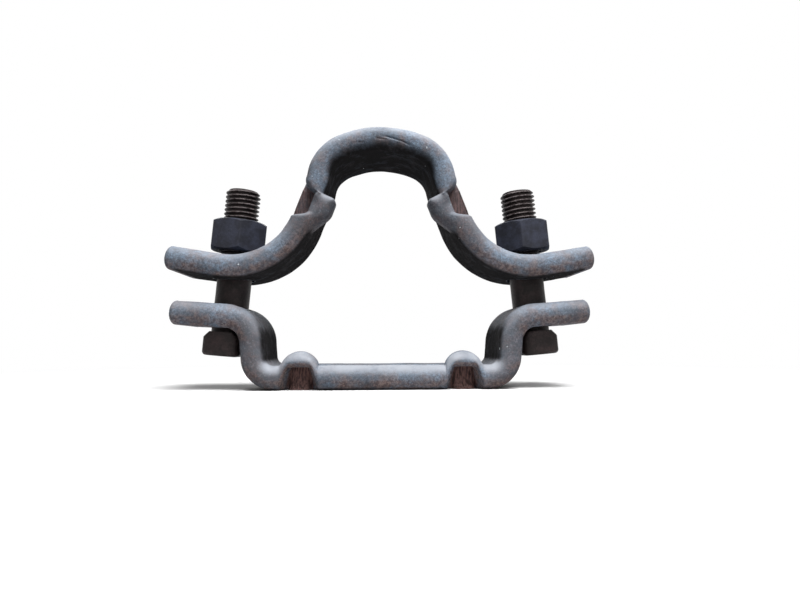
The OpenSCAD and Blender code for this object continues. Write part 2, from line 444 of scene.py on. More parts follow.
def crown_laps(s, u, y):
    """Folds left under the front rim of the crown: each is a groove of given middle, length, depth and
    distance round the front edge, with a bell-shaped section and a slightly wavy path."""
    round_edge = np.concatenate([[0], np.cumsum(np.hypot(np.diff(u), np.diff(y)))])
    total = np.zeros((len(s), len(u)))
    for middle, length, depth, around in LAPS:
        path = around + LAP_SWAY * np.sin((s - middle) / length * LAP_BENDS)
        window = rise(np.abs(s - middle), length / 2, 0)
        total += depth * window[:, None] * bell(round_edge - path[:, None], LAP_HALF)
    return total


def base_crease(s, u, y):
    """A fine crease across the front strip, in line with the torn end of each base lug."""
    return CREASE_DEPTH * np.outer(bell(np.abs(s) - CREASE_PLACE, CREASE_HALF), strip_gate(y))


print("folds under the crown:", len(LAPS), "deepest in mm:", max(lap[2] for lap in LAPS))

# %% [markdown]
# ## Where the skin gets painted shade, a worked tone, rusty stains or a painted highlight
# The inside of the crown is painted near black as shade, the bends are browner where the steel was worked,
# and the lower parts go rusty and are painted darker as shade. One could paint these zones by hand. Here
# each is a line along the bar, and the lines become numbers per point that the finish reads, so the pattern
# stays on the steel as it moves.

# %% Plans along the bar
LUG_SKIN = (0, 3)
NOTCH_SKIN = (0, 4)
NOTCH_FRONT = (-25, -21)
OUTER_SIDE = (4.5, 7.5)
SHELTERED_LOOK = (0.90, 0.15)
TIP_UNSHADED = (3, 9)
LUG_BACK_SHARE = 3


def arch_plan(s):
    """By the distance from the middle of the arch strap: under the crown the painted shade reaches deep and
    there are no rusty stains or shade on faces that look down. The scale is worked at the lugs and along
    the legs, and the painted highlight is strongest at the lugs."""
    return {
        "painted_shade_depth": 7.3 - 5.3 * rise(s, 35, 60),
        "worked": rise(s, 58, 68) * (1 - rise(s, 92, 117)),
        "rust_and_shade_share": rise(s, 70, 110),
        "highlight_strength": 0.7 - 0.3 * rise(s, 45, 75) + 0.5 * bell(s - 66, 5),
        "tear_share": 0.6,
    }


def base_plan(s):
    """The same for the base strap: a thin band of painted shade, worked scale on the heels and legs, rusty
    stains and painted shade below all along, and a painted highlight that is stronger on the bar than on
    the ears."""
    return {
        "painted_shade_depth": np.full_like(s, 3.0),
        "worked": rise(s, 62, 76) * (1 - rise(s, 108, 128)),
        "rust_and_shade_share": np.ones_like(s),
        "highlight_strength": 1.0 - 0.6 * rise(s, 96, 116),
        "tear_share": 1.0,
    }


def skin_marks(s, u, y, skin_in, skin_out, look_up, length, plan):
    """Numbers per point for the finish. Inside is painted shade on the inner face where it looks sideways
    or down, fading round the rim. Torn are the walls of the notch and the back of the lug. The others
    follow the plan."""
    gate = strip_gate(y)
    lug = rise(skin_in, *LUG_SKIN) * (u > 0)
    sheltered = rise(length - np.abs(s), *TIP_UNSHADED) * rise(look_up, *SHELTERED_LOOK)
    # Painted shade: the inner face is darkened as if in shadow, deepest under the crown.
    painted_shade = rise(u, HALF_T - plan["painted_shade_depth"][:, None], HALF_T)
    wall = rise(np.abs(y - SHEAR_Y), 4 * SHEAR_HALF, 2 * SHEAR_HALF)
    notch_skin = rise(-u, *OUTER_SIDE) * np.maximum(gate * rise(y, *NOTCH_FRONT), wall)
    notch_skin = notch_skin * rise(skin_out, *NOTCH_SKIN)
    lug_back = lug * LUG_BACK_SHARE * gate * (1 - gate)
    marks = {name: np.outer(plan[name], np.ones_like(u)) for name in ("worked", "rust_and_shade_share", "highlight_strength")}
    marks["inside"] = sheltered[:, None] * painted_shade * (1 - lug * gate)
    marks["torn"] = plan["tear_share"] * np.clip(notch_skin + lug_back, 0, 1)
    return marks


print("soot under the crown is", arch_plan(np.zeros(1))["painted_shade_depth"], "mm deep")

# %% [markdown]
# ## A strap as one surface
# The section is carried along the centre line. At each row the front strip is shifted inwards by the
# lug profiles, and then the skin gets its waves and grooves. A swept curve object could carry the
# section too, but it could not press a part of it inwards.

# %% Strap surface
WAVE_DEPTH = 0.35
LONG_WAVE, LONG_SHARE = 34, 0.6
SHORT_WAVE, SHORT_SHARE = 11, 0.4
OUTER_SKIN = 1 - HALF_T
LEAN_FADE = (-4, -16)
NOTCH_EDGE = (0, 2)


def foot_share(u, y):
    """Where the foot of a torn wall leans forward: on the outer skin, growing with the square across
    the shear line and fading out behind it."""
    foot = np.clip((y - SHEAR_Y + SHEAR_HALF) / (2 * SHEAR_HALF), 0, 1) ** 2
    return foot * rise(y, *LEAN_FADE) * (u < OUTER_SKIN)


def strap_points(
        runs, length, middle_height, inner_sign, press, fine_places, wave_seed, grooves, lean, plan):
    """Grid of a strap: centre line plus the section's u along the inner normal and y along the depth.
    Inner and outer skin of the strip are pressed inwards, and points between them move in proportion.
    The foot of the torn wall leans forward by the given length. Also returns the marks of the skin."""
    u, y = full_section()
    s, inset, share = strap_rows(length, fine_places)
    x, z, heading = centre_line(runs, middle_height, s)
    skin_in, skin_out = press(s, y)
    outer_rim = (u < 0) & (y < EDGE_R - HALF_W)
    skin_in = np.where(outer_rim, skin_in[:, :1], skin_in)
    inner = u / PLATE_T + 0.5
    shift = strip_gate(y) * (skin_in * inner + skin_out * (1 - inner))
    through = np.outer(share * (HALF_T - inset) / HALF_T, u) + shift
    leaning = foot_share(u, y)
    depth = np.outer(share * (HALF_W - inset) / HALF_W, y) - skin_out / PLATE_T * lean * leaning
    normal = inner_sign * np.stack([-np.sin(heading), np.cos(heading)], 1)
    across = x[:, None] + through * normal[:, :1]
    upward = z[:, None] + through * normal[:, 1:]
    points = np.stack([across, depth, upward], axis=-1)
    wave = LONG_SHARE * sine_field(points, wave_seed, LONG_WAVE)
    wave += SHORT_SHARE * sine_field(points, wave_seed + 1, SHORT_WAVE)
    sink = WAVE_DEPTH * (0.5 + 0.5 * np.tanh(wave)) + grooves(s, u, y)
    sink *= (inset == 0)[:, None] * (1 - rise(skin_out, *NOTCH_EDGE) * leaning)
    points = points - grid_normals(points) * sink[..., None] * outward_sign(points)
    return points, skin_marks(s, u, y, skin_in, skin_out, normal[:, 1], length, plan(np.abs(s)))


arch_grid, arch_marks = strap_points(
    runs=ARCH_RUNS, length=ARCH_LEN, middle_height=cad_box[1].z / MM - HALF_T, inner_sign=-1,
    press=arch_press, fine_places=ARCH_FINE, wave_seed=11, grooves=crown_laps, lean=3, plan=arch_plan)
base_grid, base_marks = strap_points(
    runs=BASE_RUNS, length=BASE_LEN, middle_height=HALF_T, inner_sign=1,
    press=base_press, fine_places=BASE_FINE, wave_seed=23, grooves=base_crease, lean=8, plan=base_plan)
arch = mesh_piece("arch_strap_skin", arch_grid, True, arch_marks)
base = mesh_piece("base_strap_skin", base_grid, True, base_marks)

# %% [markdown]
# ## Where the bolts stand
# The bolts lean a little towards the middle, and their holes lean with them. Their place could be typed
# in again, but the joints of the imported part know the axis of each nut. Both holes of a strap are
# then cut with a boolean along these axes, as a punch would do it.

# %% Bolt axes and holes
joints = {joint["name"]: joint for joint in frame["joints"]}
SIDES = ("left", "right")
HOLE_R = 14.0
HOLE_COLUMNS = 72
HOLE_MERGE = 0.02
ARCH_CUT = (-34, 12)
BASE_CUT = (-61, -25)


def bolt_axis(side):
    """Point under the nut and unit direction of one bolt, in millimetres."""
    joint = joints[side + "_nut_turn"]
    return np.array(joint["pos_m"]) / MM, np.array(joint["axis"])


def on_axis(points, side):
    """Turns points that stand along +z, with the nut's lower face at z = 0, onto the bolt's axis."""
    place, up = bolt_axis(side)
    across = np.array([up[2], 0, -up[0]])
    return place + points[..., :1] * across + points[..., 1:2] * [0, 1, 0] + points[..., 2:] * up


def punch(piece, low, high):
    """Cuts both bolt holes between two heights along the axes, measured from the nut's lower face. Each
    cutter is a drum of four rings, of which the first and the last shrink to a point."""
    turn = np.linspace(0, 2 * math.pi, HOLE_COLUMNS, endpoint=False)
    ring = np.stack([HOLE_R * np.cos(turn), HOLE_R * np.sin(turn), np.zeros_like(turn)], 1)
    for side in SIDES:
        drum = np.stack([ring * 0, ring, ring, ring * 0])
        drum[:2, :, 2] = low
        drum[2:, :, 2] = high
        cutter = mesh_piece("cutter_" + side, on_axis(drum, side), True)
        cut = piece.modifiers.new("hole", "BOOLEAN")
        cut.object = cutter
        cut.solver = "EXACT"
        graph = bpy.context.evaluated_depsgraph_get()
        mesh = bpy.data.meshes.new_from_object(piece.evaluated_get(graph))
        piece.modifiers.clear()
        piece.data = mesh
        bpy.data.objects.remove(cutter)
    merge_doubles(piece.data, HOLE_MERGE)
    finish_shading(piece.data, SHARP_ANGLE)
    print(piece.name, "after punching:", len(piece.data.polygons), "faces")


punch(arch, *ARCH_CUT)
punch(base, *BASE_CUT)

# %% [markdown]
# ## Painted shade below, painted highlight above
# Faces that look down get rusty stains and painted shade, and rims that look up a pale painted highlight.
# Nodes could read the
# normal, but it turns with the piece. Numbers stored per point stay on the steel when the clamp opens.

# %% Painted shade and painted highlight marks of the straps
UNDERSIDE_LOOK = (0.25, -0.70)
HIGHLIGHT_LOOK = (-0.15, 0.80)
RIM_ZONE = (HALF_W - EDGE_R - 4, HALF_W - EDGE_R + 3)
FLAT_SHARE = 0.1


def points_of(mesh):
    """All points and their normals as arrays, the points in millimetres."""
    place = np.zeros(len(mesh.vertices) * 3, np.float32)
    mesh.vertices.foreach_get("co", place)
    normal = np.zeros(len(mesh.vertices) * 3, np.float32)
    mesh.vertex_normals.foreach_get("vector", normal)
    return place.reshape(-1, 3) / MM, normal.reshape(-1, 3)


def weather(piece):
    """Marks faces that look down, for rusty stains and painted shade, and faces that look up, for a pale
    painted highlight. The rims get the highlight most, the flat of the bar only a tenth of that."""
    place, normal = points_of(piece.data)
    # Faces that look down are marked for rusty stains together with painted shade.
    store_mark(piece.data, "underside", rise(normal[:, 2], *UNDERSIDE_LOOK))
    # Painted highlight: rims and faces that look up are marked to go pale as if lit from above.
    rim = rise(np.abs(place[:, 1]), *RIM_ZONE)
    up = rise(normal[:, 2], *HIGHLIGHT_LOOK)
    store_mark(piece.data, "painted_highlight", up * (FLAT_SHARE + (1 - FLAT_SHARE) * rim))
    names = [layer.name for layer in piece.data.attributes if layer.data_type == "FLOAT"]
    print(piece.name, "carries the marks", names)


for strap, node in ((arch, "arch_strap"), (base, "base_strap")):
    weather(strap)
    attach(strap, frame["nodes"][node]["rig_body"])
    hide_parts(node)

# %% [markdown]
# ## T-head bolts with a real thread
# The thread is a helix, not a bump: every row of the grid climbs by one pitch per turn, so crest and
# root follow grid lines and stay crisp. A screw modifier could turn the thread, but not end it neatly.
# Here rows that would pass an end are held at that end and merge there. The same surface goes on
# round the head, so each bolt is one closed skin.

# %% Thread and shank
PITCH = 3.0
THREAD_R = 11.95
ROOT_R = 10.15
CREST_HALF = 0.06
FLANK = 0.33
ROOT_ROUND = 0.1
SHANK_R = 11.8
BOLT_LEN = 100.0
THREAD_LEN = 56.0
RUN_OUT = 4.0
TIP_CONE = 2.0
PHASES = np.array([0, 0.05, 0.075, 0.15, 0.24, 0.33, 0.39, 0.5, 0.61, 0.67, 0.76, 0.85, 0.925, 0.95])


def thread_radius(phase):
    """Radius from the phase of the pitch: flat crest, straight flanks, slightly rounded root."""
    away = np.abs((phase + 0.5) % 1 - 0.5)
    fall = np.clip((away - CREST_HALF) / FLANK, 0, 1)
    return THREAD_R - (THREAD_R - ROOT_R) * (fall - ROOT_ROUND * np.sin(2 * math.pi * fall) / math.pi)


def shank_rows(turn):
    """Height and radius of the helical rows: the shank, the run-out and the thread up to the tip cone."""
    turns = np.arange(-1, int(BOLT_LEN / PITCH) + 2)
    phase = (turns[:, None] + PHASES).ravel()
    height = np.clip(phase[:, None] * PITCH + PITCH * turn / (2 * math.pi), 0, BOLT_LEN)
    thread = thread_radius(height / PITCH - turn / (2 * math.pi))
    start = BOLT_LEN - THREAD_LEN
    radius = SHANK_R + (thread - SHANK_R) * rise(height, start, start + RUN_OUT)
    cone = BOLT_LEN - height + THREAD_R - TIP_CONE
    return height, np.minimum(radius, cone)


print("thread depth in mm:", round(THREAD_R - ROOT_R, 2), "turns:", round(THREAD_LEN / PITCH, 1))

# %% Head
HEAD_HALF_W = 12.25
HEAD_END_R = 22.9
HEAD_H = 16.0
HEAD_CHAMFER = 4.0
HEAD_ROUND = 2.4
HEAD_POWER = 26
BEND_STEPS = 7
SIDE_STEPS = 8
CHAMFER_STEPS = 5
FACE_STEPS = 5


def head_radius(height, turn, inset):
    """Outline of the T-head: a round disc cut by two flats, joined by a high power mean."""
    half = HEAD_HALF_W - np.maximum(height + HEAD_CHAMFER, 0) - inset
    flat = (np.abs(np.cos(turn)) / half) ** HEAD_POWER
    disc = (1 / (HEAD_END_R - inset)) ** HEAD_POWER
    return (flat + disc) ** (-1 / HEAD_POWER)


def head_rows(turn):
    """Height and radius of the head's rows, from the middle of its end face up to the bearing face."""
    bend = np.linspace(0, math.pi / 2, BEND_STEPS)
    height = np.concatenate([
        -HEAD_H + HEAD_ROUND * (1 - np.cos(bend)),
        np.linspace(-HEAD_H + HEAD_ROUND, -HEAD_CHAMFER, SIDE_STEPS)[1:],
        np.linspace(-HEAD_CHAMFER, 0, CHAMFER_STEPS)[1:],
    ])
    inset = np.zeros_like(height)
    inset[:BEND_STEPS] = HEAD_ROUND * (1 - np.sin(bend))
    side = head_radius(height[:, None], turn, inset[:, None])
    outwards = np.linspace(0, 1, FACE_STEPS + 1)[:-1, None]
    end = outwards * side[0]
    seat = SHANK_R + outwards[::-1] * (side[-1] - SHANK_R)
    radius = np.concatenate([end, side, seat])
    tall = np.concatenate([np.full(FACE_STEPS, -HEAD_H), height, np.zeros(FACE_STEPS)])
    return np.broadcast_to(tall[:, None], radius.shape), radius


print("head in mm:", 2 * HEAD_HALF_W, "by", 2 * HEAD_END_R, "by", HEAD_H)

# %% Bolts
NUT_ABOVE_HIP = 63.781
HEAD_ABOVE_HIP = 7.565
BEARING = HEAD_ABOVE_HIP - NUT_ABOVE_HIP
BOLT_COLUMNS = 96
BOLT_SHARP_ANGLE = 34
CLOSE_STEPS = 5
BOLT_WAVE = 8
BOLT_WAVE_SHARE = 0.004
CREST_ZONE = (11.2, 11.8)
BOLT_SEED = {"left": 40, "right": 41}


def bolt_points(seed):
    """Head rows, shank rows and the closing rows of the flat end, as points on a standing axis. The
    bearing face lies below the nut by the difference of their heights above the centre of the hip
    bend. Waves take off up to a small share of the radius."""
    turn = np.linspace(0, 2 * math.pi, BOLT_COLUMNS + 1)
    head_h, head_r = head_rows(turn)
    shank_h, shank_r = shank_rows(turn)
    close_r = np.linspace(1, 0, CLOSE_STEPS)[1:, None] * shank_r[-1]
    height = np.concatenate([head_h, shank_h, np.full(close_r.shape, BOLT_LEN)])
    radius = np.concatenate([head_r, shank_r, close_r])
    points = np.stack([radius * np.cos(turn), radius * np.sin(turn), height + BEARING], -1)
    away = points * [1, 1, 0]
    wave = sine_field(points, seed, BOLT_WAVE)
    return points - away * (BOLT_WAVE_SHARE * (0.5 + 0.5 * np.tanh(wave)))[..., None]


def crest_share(bolt, side):
    """One on the crests of the thread and zero elsewhere, from the distance to the axis and the height."""
    place, up = bolt_axis(side)
    offset = points_of(bolt.data)[0] - place
    height = offset @ up
    radius = np.linalg.norm(offset - np.outer(height, up), axis=1)
    start = BEARING + BOLT_LEN - THREAD_LEN
    return rise(radius, *CREST_ZONE) * rise(height, start, start + PITCH)


for side in SIDES:
    grid = on_axis(bolt_points(BOLT_SEED[side]), side)
    bolt = mesh_piece(side + "_bolt_skin", grid, False, sharp_angle=BOLT_SHARP_ANGLE)
    store_mark(bolt.data, "crest", crest_share(bolt, side))
    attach(bolt, side + "_bolt")
    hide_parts(side + "_bolt")

# %% [markdown]
# ## Hexagon nuts
# A nut is a six-sided bar whose corners are turned off by a cone, which leaves the curved line on
# each flat. A boolean of prism and cone gives that line too, but with ragged faces. For every
# direction the formula finds the height where the cone meets the flat, and that line becomes a row
# of the grid, so it stays sharp at any distance.

# %% Nut surface
NUT_HALF_AF = 18.0
NUT_H = 21.5
NUT_FACE_R = 17.1
NUT_CONE_ANGLE = 30
NUT_POWER = 70
NUT_BORE_R = 12.05
BORE_CHAMFER = 1.0
NUT_COLUMNS = 192
NUT_SHARP_ANGLE = 20
NUT_SIDE_ROWS = 9
NUT_CONE_ROWS = 4
NUT_FACE_ROWS = 5
NUT_TWIST = {"left": 13, "right": -13}


def hexagon(turn):
    """Distance to the side of a hexagon with slightly blunted corners: a power mean over three pairs."""
    sides = np.cos(turn[None] - np.radians([[0], [60], [120]]))
    return NUT_HALF_AF * (np.abs(sides) ** NUT_POWER).sum(0) ** (-1 / NUT_POWER)


def nut_points(twist):
    """Once round the wall of the nut in each direction: side, upper cone, top, bore, bottom, lower cone."""
    turn = np.linspace(0, 2 * math.pi, NUT_COLUMNS + 1)
    side = hexagon(turn - math.radians(twist))
    drop = (side - NUT_FACE_R) * math.tan(math.radians(NUT_CONE_ANGLE))
    up = np.linspace(0, 1, NUT_SIDE_ROWS)[:, None]
    cone = np.linspace(0, 1, NUT_CONE_ROWS)[1:, None]
    face = np.linspace(0, 1, NUT_FACE_ROWS)[1:, None]
    level = np.zeros_like(side)
    mouth_r = NUT_BORE_R + BORE_CHAMFER
    bore_r = np.array([[NUT_BORE_R], [NUT_BORE_R], [mouth_r]])
    bore_h = np.array([[NUT_H - BORE_CHAMFER], [BORE_CHAMFER], [0]])
    back = np.append(face[::-1][1:], [[0]], axis=0)
    rows = [
        (side + 0 * up, drop + up * (NUT_H - 2 * drop)),
        (side + cone * (NUT_FACE_R - side), NUT_H - drop + cone * drop),
        (NUT_FACE_R + face * (mouth_r - NUT_FACE_R) + level, NUT_H + 0 * face + level),
        (bore_r + level, bore_h + level),
        (NUT_FACE_R + back * (mouth_r - NUT_FACE_R) + level, 0 * back + level),
        (NUT_FACE_R + cone * (side - NUT_FACE_R), cone * drop),
    ]
    radius = np.concatenate([r for r, _ in rows])
    height = np.concatenate([h for _, h in rows])
    return np.stack([radius * np.cos(turn), radius * np.sin(turn), height], -1)


for side in SIDES:
    grid = on_axis(nut_points(NUT_TWIST[side]), side)
    nut = mesh_piece(side + "_nut_skin", grid, False, sharp_angle=NUT_SHARP_ANGLE)
    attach(nut, side + "_nut")
    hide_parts(side + "_nut")

# %% [markdown]
# ## Helpers for the finishes
# A finish is a chain of nodes: a noise gives a pattern, a ramp makes it crisp, and a mix lays one
# colour over another where the pattern says so. The nodes could be joined by hand in the editor. A
# few helpers with plain names keep each finish readable as a list of layers.


# %% Material helpers
def new_material(name):
    """A node material that holds only a principled shader and its output."""
    material = bpy.data.materials.new(name)
    material.use_nodes = True
    nodes = material.node_tree.nodes
    nodes.clear()
    shader = nodes.new("ShaderNodeBsdfPrincipled")
    output = nodes.new("ShaderNodeOutputMaterial")
    link(material, shader.outputs["BSDF"], output.inputs["Surface"])
    return material, shader


def link(owner, source, target):
    """Joins an output to an input in the node tree of a material or a world."""
    owner.node_tree.links.new(source, target)


def noise(material, scale, detail=4.0, roughness=0.55, stretch=(1, 1, 1)):
    """Noise on object coordinates, with so many blobs per metre."""
    nodes = material.node_tree.nodes
    coordinates = nodes.new("ShaderNodeTexCoord")
    mapping = nodes.new("ShaderNodeMapping")
    mapping.inputs["Scale"].default_value = stretch
    texture = nodes.new("ShaderNodeTexNoise")
    texture.inputs["Scale"].default_value = scale
    texture.inputs["Detail"].default_value = detail
    texture.inputs["Roughness"].default_value = roughness
    link(material, coordinates.outputs["Object"], mapping.inputs["Vector"])
    link(material, mapping.outputs["Vector"], texture.inputs["Vector"])
    return texture.outputs["Fac"]


def ramp(owner, source, low, high, course="SMOOTHSTEP"):
    """Stretches a value so that low becomes 0 and high becomes 1, with soft ends or in a straight line."""
    node = owner.node_tree.nodes.new("ShaderNodeMapRange")
    node.interpolation_type = course
    node.inputs["From Min"].default_value = low
    node.inputs["From Max"].default_value = high
    link(owner, source, node.inputs["Value"])
    return node.outputs["Result"]


def spread(owner, source, low, high):
    """The reverse: 0 becomes low and 1 becomes high, in a straight line."""
    node = owner.node_tree.nodes.new("ShaderNodeMapRange")
    node.inputs["To Min"].default_value = low
    node.inputs["To Max"].default_value = high
    link(owner, source, node.inputs["Value"])
    return node.outputs["Result"]


def arithmetic(owner, operation, first, second):
    """Sum, product or maximum of two values; either may be a number."""
    node = owner.node_tree.nodes.new("ShaderNodeMath")
    node.operation = operation
    for value, socket in ((first, node.inputs[0]), (second, node.inputs[1])):
        if isinstance(value, (int, float)):
            socket.default_value = value
        else:
            link(owner, value, socket)
    return node.outputs["Value"]


def multiply(owner, first, second):
    """Product of two values."""
    return arithmetic(owner, "MULTIPLY", first, second)


def mix(owner, share, first, second):
    """Colour that goes from the first to the second with the share; each is a colour or a socket."""
    node = owner.node_tree.nodes.new("ShaderNodeMix")
    node.data_type = "RGBA"
    link(owner, share, node.inputs["Factor"])
    for value, socket in ((first, node.inputs[6]), (second, node.inputs[7])):
        if isinstance(value, tuple):
            socket.default_value = (*value, 1)
        else:
            link(owner, value, socket)
    return node.outputs[2]


def attribute(material, name):
    """The number stored per point under a name."""
    node = material.node_tree.nodes.new("ShaderNodeAttribute")
    node.attribute_name = name
    return node.outputs["Fac"]


def bump(material, shader, height, distance, strength, below=None):
    """Small relief of a height value, stacked on another relief if one is given."""
    node = material.node_tree.nodes.new("ShaderNodeBump")
    node.inputs["Distance"].default_value = distance
    node.inputs["Strength"].default_value = strength
    link(material, height, node.inputs["Height"])
    if below is not None:
        link(material, below, node.inputs["Normal"])
    link(material, node.outputs["Normal"], shader.inputs["Normal"])
    return node.outputs["Normal"]


print("mixing and noise helpers are ready")

# %% [markdown]
# ## Scaled steel
# Hot-formed steel carries a skin of blue-grey scale that is mottled and chipped in small flecks. Rims that
# look up get a pale painted highlight, and faces that look down rusty stains and painted shade. One metal
# shader with a photo on it could show that,
# but from one side only. Here the layers lie on each other in this order:
# scale, painted highlight, rusty stains with painted shade, bare torn steel, and painted shade inside.

# %% Colours of the straps
SCALE_DARK = (0.080, 0.087, 0.102)
SCALE_MID = (0.108, 0.121, 0.147)
SCALE_LIGHT = (0.245, 0.326, 0.430)
SCALE_WARM = (0.240, 0.180, 0.172)
SCALE_WORKED = (0.098, 0.098, 0.106)
SCALE_PINK = (0.130, 0.098, 0.098)
SCALE_CHIP = (0.25, 0.28, 0.32)
# Pale tone of the painted highlight on faces that look up.
HIGHLIGHT_PALE = (0.345, 0.365, 0.405)
# Warm browns of rusty stains, which also paint the shade on faces that look down.
RUST_AND_SHADE = (0.310, 0.215, 0.190)
RUST_AND_SHADE_DARK = (0.120, 0.077, 0.066)
TORN_LIGHT = (0.235, 0.135, 0.120)
TORN_DARK = (0.060, 0.036, 0.032)
TEAR_STRETCH = (1, 1, 0.12)
# Near black of the painted shade inside the straps.
SHADE_BLACK = (0.019, 0.018, 0.019)
FLECK = (0.66, 0.70, 0.74)


def scale_colour(material, fine):
    """Clouds of dull and pale blue, warm patches and browner worked zones, under dark grain of two sizes
    and small pale chips."""
    clouds = ramp(material, noise(material, 42, 5), 0.30, 0.70)
    warm = ramp(material, noise(material, 95, 6, 0.65), 0.44, 0.64)
    tint = ramp(material, noise(material, 130, 5, 0.6), 0.40, 0.62)
    grain = ramp(material, noise(material, 1500, 2, 0.7), 0.36, 0.64)
    chip = ramp(material, noise(material, 820, 3, 0.6), 0.56, 0.66)
    worked = mix(material, tint, SCALE_WORKED, SCALE_PINK)
    colour = mix(material, clouds, SCALE_MID, SCALE_LIGHT)
    colour = mix(material, multiply(material, warm, 0.75), colour, SCALE_WARM)
    colour = mix(material, multiply(material, attribute(material, "worked"), 0.7), colour, worked)
    colour = mix(material, multiply(material, fine, 0.6), colour, SCALE_DARK)
    colour = mix(material, multiply(material, grain, 0.45), colour, SCALE_DARK)
    return mix(material, multiply(material, chip, 0.35), colour, SCALE_CHIP)


def highlight_rust_and_shade(material, colour, fine, stain):
    """Rims that look up get a pale painted highlight, and faces that look down get rusty stains and painted
    shade.
    """
    # Painted highlight: faces that look up are mixed towards a pale tone.
    pale = multiply(material, attribute(material, "painted_highlight"), attribute(material, "highlight_strength"))
    pale = multiply(material, pale, ramp(material, noise(material, 60, 6), 0.10, 0.60))
    colour = mix(material, pale, colour, HIGHLIGHT_PALE)
    # Faces that look down go dark warm brown: rusty stains together with painted shade.
    low = multiply(material, stain, ramp(material, attribute(material, "underside"), 0.05, 0.65))
    low = multiply(material, low, attribute(material, "rust_and_shade_share"))
    rust_and_shade = mix(material, fine, RUST_AND_SHADE, RUST_AND_SHADE_DARK)
    return mix(material, multiply(material, low, 0.65), colour, rust_and_shade)


def torn_walls(material, colour):
    """Bare torn steel is brown, with fine streaks that run up and down."""
    streak = ramp(material, noise(material, 900, 4, 0.6, TEAR_STRETCH), 0.36, 0.64)
    wall = mix(material, streak, TORN_LIGHT, TORN_DARK)
    return mix(material, multiply(material, attribute(material, "torn"), 0.95), colour, wall)


print("strap colours, rubbed and shaded_black:", HIGHLIGHT_PALE, SHADE_BLACK)


# %% Scaled steel of the straps
def scaled_steel():
    """All layers of the straps: scale, painted highlight, rusty stains with painted shade, torn walls,
    painted shade inside with a ragged edge, and a few bright flecks. The painted shade is dull, the scale a
    little smoother, and both have a relief of two sizes."""
    material, shader = new_material("scaled_steel")
    fine = ramp(material, noise(material, 560, 4, 0.75), 0.40, 0.60)
    stain = ramp(material, noise(material, 110, 8, 0.7), 0.34, 0.64)
    colour = highlight_rust_and_shade(material, scale_colour(material, fine), fine, stain)
    colour = torn_walls(material, colour)
    # Painted shade: the inside is mixed towards near black as if in shadow, with a ragged edge.
    ragged = arithmetic(material, "ADD", attribute(material, "inside"), multiply(material, stain, 0.22))
    painted_shade = ramp(material, ragged, 0.22, 1.12, "LINEAR")
    colour = mix(material, painted_shade, colour, SHADE_BLACK)
    fleck = ramp(material, noise(material, 420, 1, 0.4), 0.81, 0.825)
    link(material, mix(material, fleck, colour, FLECK), shader.inputs["Base Color"])
    shader.inputs["Metallic"].default_value = 0.05
    shader.inputs["Specular IOR Level"].default_value = 0.03
    dull = arithmetic(material, "MAXIMUM", spread(material, fine, 0.50, 0.75), painted_shade)
    link(material, dull, shader.inputs["Roughness"])
    coarse = bump(material, shader, noise(material, 260, 5, 0.6), 0.0009, 0.5)
    bump(material, shader, noise(material, 1300, 3, 0.7), 0.0004, 0.6, coarse)
    return material


steel = scaled_steel()
print("scaled steel has", len(steel.node_tree.nodes), "nodes")

# %% [markdown]
# ## Blackened steel
# Nuts and bolts are blackened in a hot bath, which leaves a thin dark oxide that wears off in patches
# and on the crests of the thread; the pale crests are also painted highlight. A plain black shader would
# look like plastic. Two close tones, a fine grain and a low gloss show metal under the black.

# %% Blackened steel of the nuts and bolts
NUT_BLACK = (0.020, 0.021, 0.028)
NUT_GREY = (0.040, 0.044, 0.065)
BOLT_BLACK = (0.010, 0.007, 0.007)
BOLT_GREY = (0.033, 0.022, 0.022)
# Pale crest tone: bare metal, also painted as the crests' highlight.
CREST_WEAR_AND_GLINT = (0.190, 0.165, 0.165)


def black_steel(name, dark, light, roughness, crest=None):
    """Oxide finish: a dark coat that wears lighter in patches, with a fine grain and bright crests that
    wear bare and are painted pale as highlights.
    """
    material, shader = new_material(name)
    patch = ramp(material, noise(material, 140, 6, 0.65), 0.36, 0.66)
    grain = ramp(material, noise(material, 1200, 3, 0.7), 0.35, 0.65)
    colour = mix(material, patch, dark, light)
    colour = mix(material, multiply(material, grain, 0.4), colour, dark)
    if crest is not None:
        patchy = ramp(material, noise(material, 420, 4), 0.3, 0.6)
        # Bright crests: bare metal where the oxide wears off, painted pale also to stand in for their
        # highlights.
        worn_and_glint = multiply(material, attribute(material, "crest"), patchy)
        colour = mix(material, multiply(material, worn_and_glint, 0.85), colour, crest)
    link(material, colour, shader.inputs["Base Color"])
    shader.inputs["Metallic"].default_value = 0.05
    shader.inputs["Specular IOR Level"].default_value = 0.18
    rough = spread(material, grain, roughness - 0.08, roughness + 0.12)
    link(material, rough, shader.inputs["Roughness"])
    bump(material, shader, noise(material, 900, 4, 0.65), 0.0003, 0.5)
    return material


nut_steel = black_steel("nut_oxide", NUT_BLACK, NUT_GREY, 0.48)
bolt_steel = black_steel("bolt_oxide", BOLT_BLACK, BOLT_GREY, 0.45, CREST_WEAR_AND_GLINT)
finish_of = {"strap": steel, "nut": nut_steel, "bolt": bolt_steel}
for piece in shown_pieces():
    kind = next(word for word in finish_of if word in piece.name)
    piece.data.materials.clear()
    piece.data.materials.append(finish_of[kind])
    print(piece.name, "is finished as", finish_of[kind].name)

# %% [markdown]
# ## Studio
# The clamp stands on a pale floor in a white surround, with a wide soft lamp overhead and weaker ones
# in front and behind. Strong light would make the background white too, but it would bleach the
# steel. So floor and surround are white only where they are seen, directly or in reflections. For
# the light that it throws back the floor is grey, so the inside of the arch stays dark.

# %% Floor and surround
FLOOR_HALF = 4.0
FLOOR_Z = -0.0002
FLOOR_GREY = (0.36, 0.36, 0.36)
FLOOR_PALE = (0.90, 0.90, 0.90)
SHADOW_ZONE = (0.16, 0.55)
SURROUND_LIGHT = 0.08


